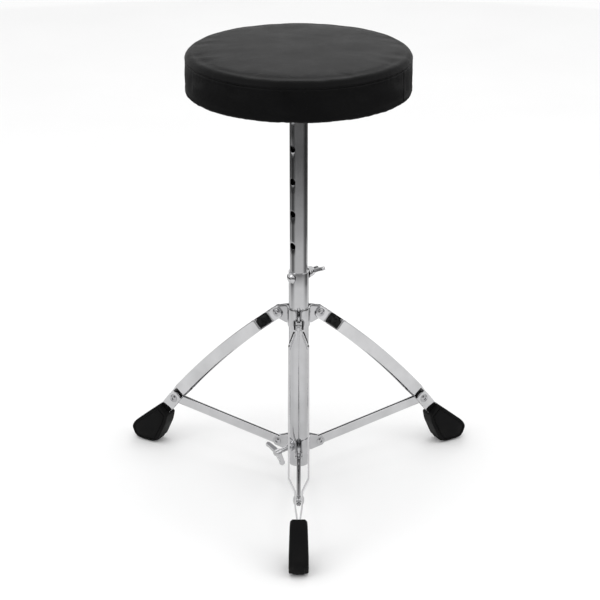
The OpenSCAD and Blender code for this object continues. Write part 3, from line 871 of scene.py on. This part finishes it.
def makeStaples():
    s = staple
    half, wire = s["crown"] / 2, s["wire"] / 2
    path = [(0, -half, s["leg"]), (0, -half, 1.2), (0, -half + 0.35, 0.35), (0, -half + 1.2, 0),
            (0, half - 1.2, 0), (0, half - 0.35, 0.35), (0, half, 1.2), (0, half, s["leg"])]
    points, sides = [], 6
    for index, spot in enumerate(path):
        ahead = Vector(path[min(index + 1, len(path) - 1)]) - Vector(path[max(index - 1, 0)])
        side = ahead.normalized().cross(Vector((1, 0, 0)))
        for k in range(sides):
            a = math.tau * k / sides
            off = side * wire * math.cos(a)
            points.append(tuple(Vector(spot) + off + Vector((wire * math.sin(a), 0, 0))))
    rings = [list(range(sides * index, sides * (index + 1))) for index in range(len(path))]
    faces = bridged(rings) + [rings[0], rings[-1]]
    one = tidied(makeMesh("oneStaple", points, faces))
    ring = grown("coverStaples", ringParts, ringNames, {
        "Part": one, "Count": s["count"], "Radius": s["radius"] * mm, "Height": s["height"] * mm,
        "Material": finishes["zinc"]})
    settle(ring)
    bpy.data.objects.remove(one)
    given(ring, "seat", "zinc", "cover_staples")


print("seat cover swelling")
makeSeat()
makeFoamPad()
makeDustDisc()
makeStaples()
given(fromNode("bracketPlate", "bracket_plate", ease=0.7), "seat", "black_steel", "bracket_plate")
given(fromNode("bracketSocket", "bracket_socket", ease=0.5), "seat", "black_steel", "bracket_socket")
given(fromNode("seatClampBolt", "seat_clamp_bolt", ease=0.45), "seat", "zinc", "seat_clamp_bolt")
given(fromNode("bracketScrews", "bracket_screws", ease=0.4), "seat", "zinc", "bracket_screws")
print("seat made")


# post and main tube

tubes = {
    "postRadius": 11.1, "mainRadius": 12.7, "wall": 1.45, "postFrom": 232.0, "postTo": 516.9,
    "mainFrom": 23.0, "mainTo": 291.0, "holeRadius": 4.5, "holePitch": 42.0, "holeRim": 0.55,
    "rimRound": 0.6,
}


def tubeProfile(outer, inner, low, high, rim, steps):
    corners = [(inner, (low + high) / 2, 0), (inner, low, rim), (outer, low, rim)]
    corners += [(outer, low + (high - low) * k / steps, 0) for k in range(1, steps)]
    corners += [(outer, high, rim), (inner, high, rim)]
    return rounded(corners, 4)


def makeTubes():
    t = tubes
    post = spun("seatPost", tubeProfile(t["postRadius"], t["postRadius"] - t["wall"], t["postFrom"],
                                        t["postTo"], t["rimRound"], 14), 128, loop=True)
    drills = []
    for number in range(-1, 6):
        drill = spun("drill", [(0, -20), (t["holeRadius"], -20), (t["holeRadius"], 20), (0, 20)], 40)
        turned(drill, outwards(stand["boltTurn"], stand["boltHeight"] + number * t["holePitch"]))
        drills.append(drill)
    cutFrom(post, [joinedMesh("drills", drills)])
    eased(post, t["holeRim"], 3, 42)
    settle(post)
    given(post, "post", "chrome", "seat_post", sharp=32, finish="post")
    main = spun("mainTube", tubeProfile(t["mainRadius"], t["postRadius"] + 0.06, t["mainFrom"],
                                        t["mainTo"], t["rimRound"], 14), 128, loop=True)
    given(main, "stand_tube", "chrome", "main_tube")
    for name in ("post_top_plug", "seat_board", "tee_nuts", "upper_pivot_pins"):
        dress = {"post_top_plug": "plug", "seat_board": "plywood", "tee_nuts": "zinc",
                 "upper_pivot_pins": "rivet_steel"}[name]
        nodes[name].data.materials.clear()
        nodes[name].data.materials.append(finishes[dress])


makeTubes()
print("tubes made")


# cast wing parts and the height bolt

wings = {
    "nutSpan": 42.0, "nutTilt": -22, "nutBase": 13.2, "nutHub": (7.6, 6.1, 10.0), "nutThick": 4.2,
    "screwSpan": 37.0, "screwBase": 34.0, "screwHub": (4.2, 3.6, 9.0), "screwThick": 3.0,
    "screwTilt": -35, "tip": 3.5, "rise": 8.5, "voxel": 0.42,
}
bolt = {"radius": 4.0, "pitch": 1.25, "depth": 0.55, "end": -34.0, "threadTo": -12.5,
        "headRadius": 6.8, "headRise": 3.8, "headBase": 13.1}


def wingBlank(span, base, thick, side):
    tip, rise = wings["tip"], wings["rise"]
    x, y = span / 2 - tip, base + rise
    outline = [(0.0, base), (3.5, base + 0.6), (x + 1.2, y - tip + 0.2)]
    outline += [(x + tip * math.cos(math.radians(a)), y + tip * math.sin(math.radians(a)))
                for a in range(-60, 111, 10)]
    outline += [(x - 4, y + tip - 1.6), (3, base + 9), (0, base + 9)]
    count = len(outline)
    points = [(px, s * thick / 2, py) for s in (-1, 1) for px, py in outline]
    faces = [list(range(count)), list(range(2 * count - 1, count - 1, -1))]
    faces += [[k, (k + 1) % count, count + (k + 1) % count, count + k] for k in range(count)]
    blank = tidied(makeMesh("wingBlank", points, faces))
    return turned(blank, spunAbout(side, "Z"))


def castTogether(name, parts, frameMatrix):
    whole = joinedMesh(name, parts)
    voxels = whole.modifiers.new("cast", "REMESH")
    voxels.mode, voxels.voxel_size = "VOXEL", wings["voxel"] * mm
    smooth = whole.modifiers.new("softened", "SMOOTH")
    smooth.factor, smooth.iterations = 0.5, 5
    settle(whole)
    return turned(whole, frameMatrix)


def threadedRod(name, radius, pitch, depth, low, high, threadTo):
    turns, points, rings = 32, [], []
    levels = [low]
    while levels[-1] < threadTo:
        levels.append(levels[-1] + pitch / 5)
    levels += [threadTo + 0.6, high]
    for height in levels:
        rings.append(list(range(len(points), len(points) + turns)))
        for k in range(turns):
            phase = ((height + pitch * k / turns) / pitch) % 1.0
            cut = depth * abs(phase * 2 - 1) if height <= threadTo else 0.0
            point = min(1.0, (height - low) / 1.0 * 0.35 + 0.65)
            points.append(onCircle((radius - cut) * point, math.tau * k / turns, height))
    return tidied(makeMesh(name, points, bridged(rings) + [rings[0], rings[-1]]))


def makeWingParts():
    w = wings
    rootRadius, topRadius, length = w["nutHub"]
    hub = spun("hub", [(0, w["nutBase"]), (rootRadius, w["nutBase"]), (rootRadius, w["nutBase"] + 1.6),
                       (topRadius, w["nutBase"] + length), (0, w["nutBase"] + length)], 64)
    parts = [hub] + [wingBlank(w["nutSpan"], w["nutBase"] + 3.5, w["nutThick"], 90 + w["nutTilt"] + s)
                      for s in (0, 180)]
    nut = castTogether("heightWingNut", parts, Matrix())
    bore = spun("bore", [(0, 5), (4.06, 5), (4.06, 40), (0, 40)], 40)
    cutFrom(nut, [bore])
    turned(nut, outwards(stand["boltTurn"] + 180, stand["boltHeight"]))
    given(nut, "height_wing_nut", "hardware_chrome", "height_wing_nut", sharp=55)

    rootRadius, topRadius, length = w["screwHub"]
    stem = spun("stem", [(0, 12.8), (3, 12.8), (3, w["screwBase"] + 1), (rootRadius, w["screwBase"]),
                         (rootRadius, w["screwBase"] + 0.6), (topRadius, w["screwBase"] + length),
                         (0, w["screwBase"] + length)], 48)
    parts = [stem] + [wingBlank(w["screwSpan"], w["screwBase"], w["screwThick"], 90 + w["screwTilt"] + s)
                      for s in (0, 180)]
    screw = castTogether("clampWingScrew", parts, outwards(stand["boltTurn"], stand["screwHeight"]))
    given(screw, "clamp_wing_screw", "hardware_chrome", "clamp_wing_screw", sharp=55)

    b = bolt
    rod = threadedRod("rod", b["radius"], b["pitch"], b["depth"], b["end"], b["headBase"] + 1,
                      b["threadTo"])
    ball = (b["headRadius"] ** 2 + (b["headRise"] - 0.9) ** 2) / (2 * (b["headRise"] - 0.9))
    arc = math.asin(b["headRadius"] / ball)
    head = [(0, b["headBase"]), (b["headRadius"] - 0.4, b["headBase"]),
            (b["headRadius"], b["headBase"] + 0.4), (b["headRadius"], b["headBase"] + 0.9)]
    head += [(ball * math.sin(arc * k / 10),
              b["headBase"] + b["headRise"] - ball * (1 - math.cos(arc * k / 10)))
             for k in range(9, -1, -1)]
    whole = joinedMesh("heightBolt", [rod, spun("head", head, 72)])
    turned(whole, outwards(stand["boltTurn"], stand["boltHeight"]))
    given(whole, "height_bolt", "hardware_chrome", "height_bolt")


makeWingParts()
print("height bolt, wing nut and clamp screw made")


# stamped collars

collars = {
    "upper": {"low": 218.3, "high": 243.0, "wallRadius": 13.47, "earLine": 2.75, "bend": 3.0,
              "pivot": "topPivot", "earRound": 8.1, "dip": (1.3, 2.2)},
    "lower": {"low": 39.5, "high": 60.5, "wallRadius": 13.56, "earLine": 3.75, "bend": 2.2,
              "pivot": "innerPivot", "earRound": 6.4, "dip": (0.6, 1.8)},
    "sheet": 1.5,
    "boss": [(3.1, 13.0, 0), (6.0, 13.0, 0.2), (6.0, 19.26, 0.8), (3.1, 19.26, 0.6), (3.1, 14.0, 0)],
}


def stampedThird(name, turn, kind):
    c = collars[kind]
    pivotR, pivotZ = stand[c["pivot"]]
    line, bend = c["earLine"], c["bend"]
    centreY = line + bend
    centreX = math.sqrt((c["wallRadius"] + bend) ** 2 - centreY ** 2)
    tip = pivotR + c["earRound"] - 0.03
    wallHalf = math.radians(60) - math.atan2(centreY, centreX)
    bendTurn = math.pi / 2 - math.atan2(centreY, centreX)
    lengths = [tip - centreX, bend * bendTurn, c["wallRadius"] * wallHalf]
    total = 2 * sum(lengths)

    def plan(distance):
        # half of the sheet's middle line, from the ear's tip to the middle of the wall
        if distance < lengths[0]:
            x, y = tip - distance, line
            far = x
        elif distance < lengths[0] + lengths[1]:
            a = (distance - lengths[0]) / bend
            x, y = centreX - bend * math.sin(a), centreY - bend * math.cos(a)
            far = x
        else:
            a = math.atan2(centreY, centreX) + (distance - lengths[0] - lengths[1]) / c["wallRadius"]
            x, y = c["wallRadius"] * math.cos(a), c["wallRadius"] * math.sin(a)
            far = 0.0
        return x, y, far

    def place(u, v):
        distance = u * total
        near = min(distance, total - distance)
        x, y, far = plan(near)
        low, high = c["low"], c["high"]
        root = c["wallRadius"] + 2.5
        if far > root:
            share = min(1.0, (far - root) / (pivotR - root))
            low += (pivotZ - c["earRound"] - low) * share
            high += (pivotZ + c["earRound"] - high) * share
        if far > pivotR:
            half = math.sqrt(max(0.02, c["earRound"] ** 2 - (far - pivotR) ** 2))
            low, high = pivotZ - half, pivotZ + half
        # the sheet dips a little where it turns out into the ears
        depth, spread = c["dip"]
        dip = depth * math.exp(-((near - lengths[0] - lengths[1] * 0.4) / spread) ** 2)
        high -= dip
        low += dip * 0.6
        spot = spunAbout(-60, "Z") @ Vector((x, y, low + (high - low) * v))
        if distance > total / 2:
            spot.y = -spot.y
        return tuple(spunAbout(turn, "Z") @ spot)

    return sheetOf(name, 120, 10, place, collars["sheet"], 0.0, 0.34)


def makeCollars():
    for side, turn in (("left", 210), ("right", 330), ("back", 90)):
        for kind, body in (("upper", "stand_tube"), ("lower", "strut_collar")):
            piece = stampedThird(f"{kind}Collar{side.title()}", turn, kind)
            given(piece, body, "chrome", f"{kind}_collar_{side}", sharp=40)
    boss = spun("clampBoss", rounded(collars["boss"], 4), 64, loop=True)
    turned(boss, outwards(stand["boltTurn"], stand["screwHeight"]))
    given(boss, "strut_collar", "hardware_chrome", "clamp_boss")


makeCollars()
print("collars made")


# legs and struts

leg = {
    "bow": 6.3, "width": 16.0, "thick": 2.2, "start": -6.0, "past": 42.0,
    "gapTop": 3.8, "gapMain": 10.8, "gapLow": 3.0, "gapFoot": 0.7, "corner": 6.5, "edge": 0.45,
    "rows": 330, "columns": 13, "bendSoft": 0.6,
}
strut = {"width": 5.4, "height": 12.5, "sheet": 1.4}


def chordFrame(turn):
    (r0, z0), (r1, z1) = stand["topPivot"], stand["lowPivot"]
    fall = math.degrees(math.atan2(z1 - z0, r1 - r0))
    return spunAbout(turn, "Z") @ moved(r0, 0, z0) @ spunAbout(-fall, "Y")


def stripTree():
    # a flat strip along the leg's arc, stepped sideways at its joggles
    sizes = ("Chord", "Bow", "Bow radius", "Width", "Start", "End", "Corner", "Gap top", "Gap main",
             "Gap low", "Gap foot", "Bend softness")
    tree, entry, named = newGroup("legStrip", [(label, "Float", 0.01) for label in sizes] + [
        ("Rows", "Int", 200), ("Columns", "Int", 9), ("Material", "Material", None)])
    grid = tree.node("GeometryNodeMeshGrid", {}, {
        "Size X": 1.0, "Size Y": 1.0, "Vertices X": entry["Rows"], "Vertices Y": entry["Columns"]})
    x, y, _ = tree.parts(tree.node("GeometryNodeInputPosition"))
    across = y * entry["Width"]
    over = (abs(across) - entry["Width"] * 0.5 + entry["Corner"]).atLeast(0.0)
    inset = entry["Corner"] - (entry["Corner"] * entry["Corner"] - over * over).atLeast(0.0).root()
    start, end = entry["Start"] + inset, entry["End"] - inset
    along = start + (x + 0.5) * (end - start)
    gap = None
    for shift in (-1.0, 0.0, 1.0):
        spot = along + entry["Bend softness"] * shift
        steps = [(0.012, 0.033, entry["Gap main"] - entry["Gap top"]),
                 (entry["Chord"] - 0.025, entry["Chord"] - 0.009, entry["Gap low"] - entry["Gap main"]),
                 (entry["Chord"] + 0.009, entry["Chord"] + 0.025, entry["Gap foot"] - entry["Gap low"])]
        level = entry["Gap top"]
        for first, last, rise in steps:
            ramp = tree.node("ShaderNodeMapRange", {"clamp": True}, {
                "Value": spot, "From Min": first, "From Max": last, "To Min": 0.0, "To Max": 1.0})
            level = level + ramp * rise
        gap = level if gap is None else gap + level
    angle = (along - entry["Chord"] * 0.5) / entry["Bow radius"]
    reach = entry["Bow radius"] + across
    px = entry["Chord"] * 0.5 + reach * tree.node("ShaderNodeMath", {"operation": "SINE"}, {0: angle})
    pz = entry["Bow"] - entry["Bow radius"] + reach * tree.node(
        "ShaderNodeMath", {"operation": "COSINE"}, {0: angle})
    bent = tree.node("GeometryNodeSetPosition", {}, {
        "Geometry": grid, "Position": tree.joined(px, gap / 3.0, pz)})
    closeGroup(tree, bent, entry["Material"])
    return tree, named


def makeStrip(tree, named, name, turn, mirrored):
    (r0, z0), (r1, z1) = stand["topPivot"], stand["lowPivot"]
    chord = math.hypot(r1 - r0, z1 - z0)
    bow = leg["bow"]
    values = {
        "Chord": chord, "Bow": bow, "Bow radius": (chord * chord / 4 + bow * bow) / (2 * bow),
        "Width": leg["width"], "Start": leg["start"], "End": chord + leg["past"], "Corner": leg["corner"],
        "Gap top": leg["gapTop"], "Gap main": leg["gapMain"], "Gap low": leg["gapLow"],
        "Gap foot": leg["gapFoot"], "Bend softness": leg["bendSoft"],
    }
    values = {label: value * mm for label, value in values.items()}
    values.update({"Rows": leg["rows"], "Columns": leg["columns"], "Material": finishes["leg_chrome"]})
    strip = grown(name, tree, named, values)
    wall = strip.modifiers.new("wall", "SOLIDIFY")
    wall.thickness, wall.offset, wall.use_even_offset = leg["thick"] * mm, -1.0, True
    eased(strip, leg["edge"], 3, 50)
    settle(strip)
    tidied(strip, 1e-7)
    if mirrored:
        turned(strip, Matrix.Scale(-1, 4, (0, 1, 0)))
    return turned(strip, chordFrame(turn))


def makeStrut(name, turn):
    (r0, z0), (r1, z1) = stand["innerPivot"], stand["lowPivot"]
    length = math.hypot(r1 - r0, z1 - z0)
    half = strut["height"] / 2 - strut["sheet"] / 2
    side = strut["width"] / 2 - strut["sheet"] / 2
    bend = 0.9
    walls = [(-side, half + strut["sheet"] / 2, 0), (-side, -half, bend * 1.4), (side, -half, bend * 1.4),
             (side, half + strut["sheet"] / 2, 0)]
    section = rounded(walls, 5)
    full = []
    for (y0, h0), (y1, h1) in zip(section, section[1:]):
        count = max(1, int(math.hypot(y1 - y0, h1 - h0) / 0.8))
        full += [(y0 + (y1 - y0) * k / count, h0 + (h1 - h0) * k / count) for k in range(count)]
    full.append(section[-1])
    last = len(full) - 1
    roundEnd = strut["height"] / 2 - 0.02

    def place(u, v):
        y, h = full[round(v * last)]
        inset = roundEnd - math.sqrt(max(0.0, roundEnd ** 2 - h * h))
        return (-roundEnd + inset + (length + 2 * roundEnd - 2 * inset) * u, y, h)

    piece = sheetOf(name, 60, last, place, strut["sheet"], 0.0, 0.25)
    tilt = math.degrees(math.atan2(z1 - z0, r1 - r0))
    return turned(piece, spunAbout(turn, "Z") @ moved(r0, 0, z0) @ spunAbout(-tilt, "Y"))


rivet = {"pin": 3.0, "head": 5.5, "rise": 1.6, "dimple": 1.7, "dimpleDepth": 1.3,
         "topReach": 6.02, "lowReach": 5.22, "innerReach": 4.52}


def rivetShape(name, reach, middle):
    # a pin along Z with a dished head at each end; middle is where a cut pin starts, 0 for a whole one
    r = rivet
    top = [(r["pin"], reach), (r["head"] - 0.25, reach), (r["head"], reach + 0.3)]
    ball = (r["head"] ** 2 + r["rise"] ** 2) / (2 * r["rise"])
    for k in range(1, 6):
        radius = r["head"] + (r["dimple"] + 0.5 - r["head"]) * k / 5
        top.append((radius, reach + r["rise"] - ball + math.sqrt(ball * ball - radius * radius)))
    crown = top[-1][1]
    top += [(r["dimple"] + 0.1, crown - 0.12), (r["dimple"] - 0.15, crown - r["dimpleDepth"]),
            (0, crown - r["dimpleDepth"] - 0.1)]
    if middle > 0:
        upper = [(0, middle), (r["pin"], middle)] + top
        pair = [spun("head", upper, 40), turned(spun("head", upper, 40), Matrix.Scale(-1, 4, up))]
        return joinedMesh(name, pair)
    lower = [(radius, -height) for radius, height in reversed(top)]
    return spun(name, lower + top, 40)


def makeLegs():
    stripNodes, stripNames = stripTree()
    whole = {"low": rivetShape("lowRivet", rivet["lowReach"], 0),
             "top": rivetShape("topRivet", rivet["topReach"], leg["gapTop"] + 0.05),
             "inner": rivetShape("innerRivet", rivet["innerReach"], 0)}

    def spot(turn, pivot):
        r, z = stand[pivot]
        a = math.radians(turn)
        return (r * math.cos(a), r * math.sin(a), z), (-math.sin(a), math.cos(a), 0.0)

    pairs = {"front": ("left", "right"), "left": ("back", "front"), "right": ("front", "back")}
    for side, turn in stand["legTurns"].items():
        body = side + "_leg"
        for mirrored in (True, False):
            word = pairs[side][0 if mirrored else 1]
            strip = makeStrip(stripNodes, stripNames, f"{side}Leg{word.title()}Strip", turn, mirrored)
            given(strip, body, "chrome", f"{side}_leg_{word}_strip", finish="leg_chrome")
        low = repeated(f"{side}LegLowerRivet", whole["low"], [spot(turn, "lowPivot")], "rivet_steel")
        given(low, body, "rivet_steel", f"{side}_leg_lower_rivet")
        top = repeated(f"{side}LegUpperRivet", whole["top"], [spot(turn, "topPivot")], "rivet_steel")
        given(top, body, "rivet_steel", f"{side}_leg_upper_rivet")
        bar = makeStrut(f"{side}Strut", turn)
        given(bar, f"{side}_strut", "chrome", f"{side}_strut", finish="leg_chrome")
    spots = [spot(turn, "innerPivot") for turn in stand["legTurns"].values()]
    inner = repeated("strutRivets", whole["inner"], spots, "rivet_steel")
    given(inner, "strut_collar", "rivet_steel", "strut_rivets")
    for part in whole.values():
        bpy.data.objects.remove(part)


makeLegs()
print("legs, struts and rivets made")


# rubber feet

foot = {
    "outline": [  # distance from the axis, height, rounding
        (212.3, 57.6, 2.2), (246.8, 28.8, 9), (252.0, 23.2, 5), (254.5, 18.0, 3), (254.5, 14.0, 3),
        (252.8, 7.6, 7), (249.0, 2.6, 8), (241.0, 0.0, 12), (223.0, 0.0, 12), (216.0, 2.6, 8),
        (212.4, 8.8, 6), (201.5, 31.6, 7), (199.8, 38.0, 4), (198.2, 45.2, 2.0)],
    "centre": (224.0, 27.0), "edge": 1.6, "border": 3.4, "groove": 1.0, "grooveDepth": 0.9,
    "treadHalf": 6.9, "treadRise": 1.2, "slotHalf": 3.1, "slotWide": 8.2,
}


def footHalf(height):
    spots = [(0.0, 10.6), (3.0, 11.8), (10.0, 11.9), (50.6, 10.4), (57.1, 8.2), (70.0, 8.0)]
    for (h0, w0), (h1, w1) in zip(spots, spots[1:]):
        if height <= h1:
            return w0 + (w1 - w0) * max(0.0, height - h0) / (h1 - h0)
    return spots[-1][1]


def treadShare(r, z):
    # 1 where the tread stands proud, at the toe and the sole, and 0 over the rest
    fadeFrom, fadeTo = (16.0, 9.0) if r > 235 else (8.0, 3.0)
    return max(0.0, min(1.0, (fadeFrom - z) / (fadeFrom - fadeTo)))


def footRings():
    # (share of the tread's rise, further inset, level, share of the way to the centre)
    f = foot
    t = f["treadHalf"]
    rings = [(share, 0.0, ("at", level), 0.0) for share, level in (
        (0.0, 0.0), (0.0, t * 0.5), (0.0, t - 0.7), (0.12, t - 0.3), (0.45, t), (0.9, t + 0.05))]
    for step in range(5):
        a = math.radians(90 * step / 4)
        rings.append((1.0, f["edge"] * (1 - math.cos(a)), ("depth", f["edge"] * (1 - math.sin(a))), 0.0))
    inset = f["border"]
    for further, depth in ((0.0, 0.0), (0.3, 0.9), (f["groove"], 0.9), (0.3, 0.0), (0.8, -0.25)):
        inset += further
        rings.append((1.0, inset, ("depth", depth * f["grooveDepth"]), 0.0))
    rings += [(1.0, inset, ("depth", -0.25), share) for share in (0.35, 0.7, 1.0)]
    return rings


def footSlot():
    # the room the two strips take, on the leg's own arc, flared towards the mouth
    (r0, z0), (r1, z1) = stand["topPivot"], stand["lowPivot"]
    chord, bow = math.hypot(r1 - r0, z1 - z0), leg["bow"]
    arc = (chord * chord / 4 + bow * bow) / (2 * bow)
    points, faces, steps = [], [], 14
    for step in range(steps + 1):
        t = -16 + (leg["past"] + 16.5) * step / steps
        half = foot["slotHalf"] + 0.128 * max(0.0, 27 - t)
        a = (chord / 2 + t) / arc
        for across, y in ((-1, -1), (1, -1), (1, 1), (-1, 1)):
            reach = arc + across * foot["slotWide"]
            points.append((chord / 2 + reach * math.sin(a), y * half, bow - arc + reach * math.cos(a)))
    for step in range(steps):
        for k in range(4):
            after = (k + 1) % 4
            faces.append([4 * step + k, 4 * step + after, 4 * step + 4 + after, 4 * step + 4 + k])
    faces += [[0, 1, 2, 3], [4 * steps + k for k in (3, 2, 1, 0)]]
    return tidied(turned(makeMesh("slot", points, faces), chordFrame(0)))


def makeFoot(name, turn):
    f = foot
    corners = f["outline"]
    closed = [corners[-1]] + corners + [corners[0]]
    path = rounded(closed, 6)[1:-1]
    path = evenly(path + [path[0]], lambda x, y: 1.1)[:-1]
    centre = Vector(f["centre"])
    spots = [Vector(p) for p in path]
    count = len(spots)
    spans = []
    for k, spot in enumerate(spots):
        along = (spots[(k + 1) % count] - spots[k - 1]).normalized()
        square = Vector((along.y, -along.x))
        spans.append(max(4.0, abs(square.dot(spot - centre))))
    points, rings = [], []

    def ringAt(share, inset, level, fall, side):
        start = len(points)
        for spot, span in zip(spots, spans):
            back = inset + share * f["treadRise"] * treadShare(spot.x, spot.y)
            place = spot + (centre - spot) * min(0.9, back / span)
            place += (centre - place) * fall
            half = footHalf(place.y)
            kind, value = level
            squeeze = min(1.0, (half - f["edge"] - 0.2) / f["treadHalf"])
            y = half - value if kind == "depth" else value * squeeze
            points.append((place.x, side * y, place.y))
        return list(range(start, start + count))

    levels = footRings()
    for side in (-1, 1):
        made = []
        for share, inset, level, fall in (levels if side < 0 else levels[1:]):
            if fall >= 1.0:
                made.append([len(points)] * count)
                points.append((centre.x, side * (footHalf(centre.y) + 0.22), centre.y))
            else:
                made.append(ringAt(share, inset, level, fall, side))
        rings = list(reversed(made)) if side < 0 else rings + made
    piece = tidied(makeMesh(name, points, bridged(rings)))
    cutFrom(piece, [footSlot()])
    return turned(piece, spunAbout(turn, "Z"))


for side, turn in stand["legTurns"].items():
    given(makeFoot(f"{side}Foot", turn), f"{side}_leg", "foot_rubber", f"{side}_foot", sharp=30)
print("feet made")
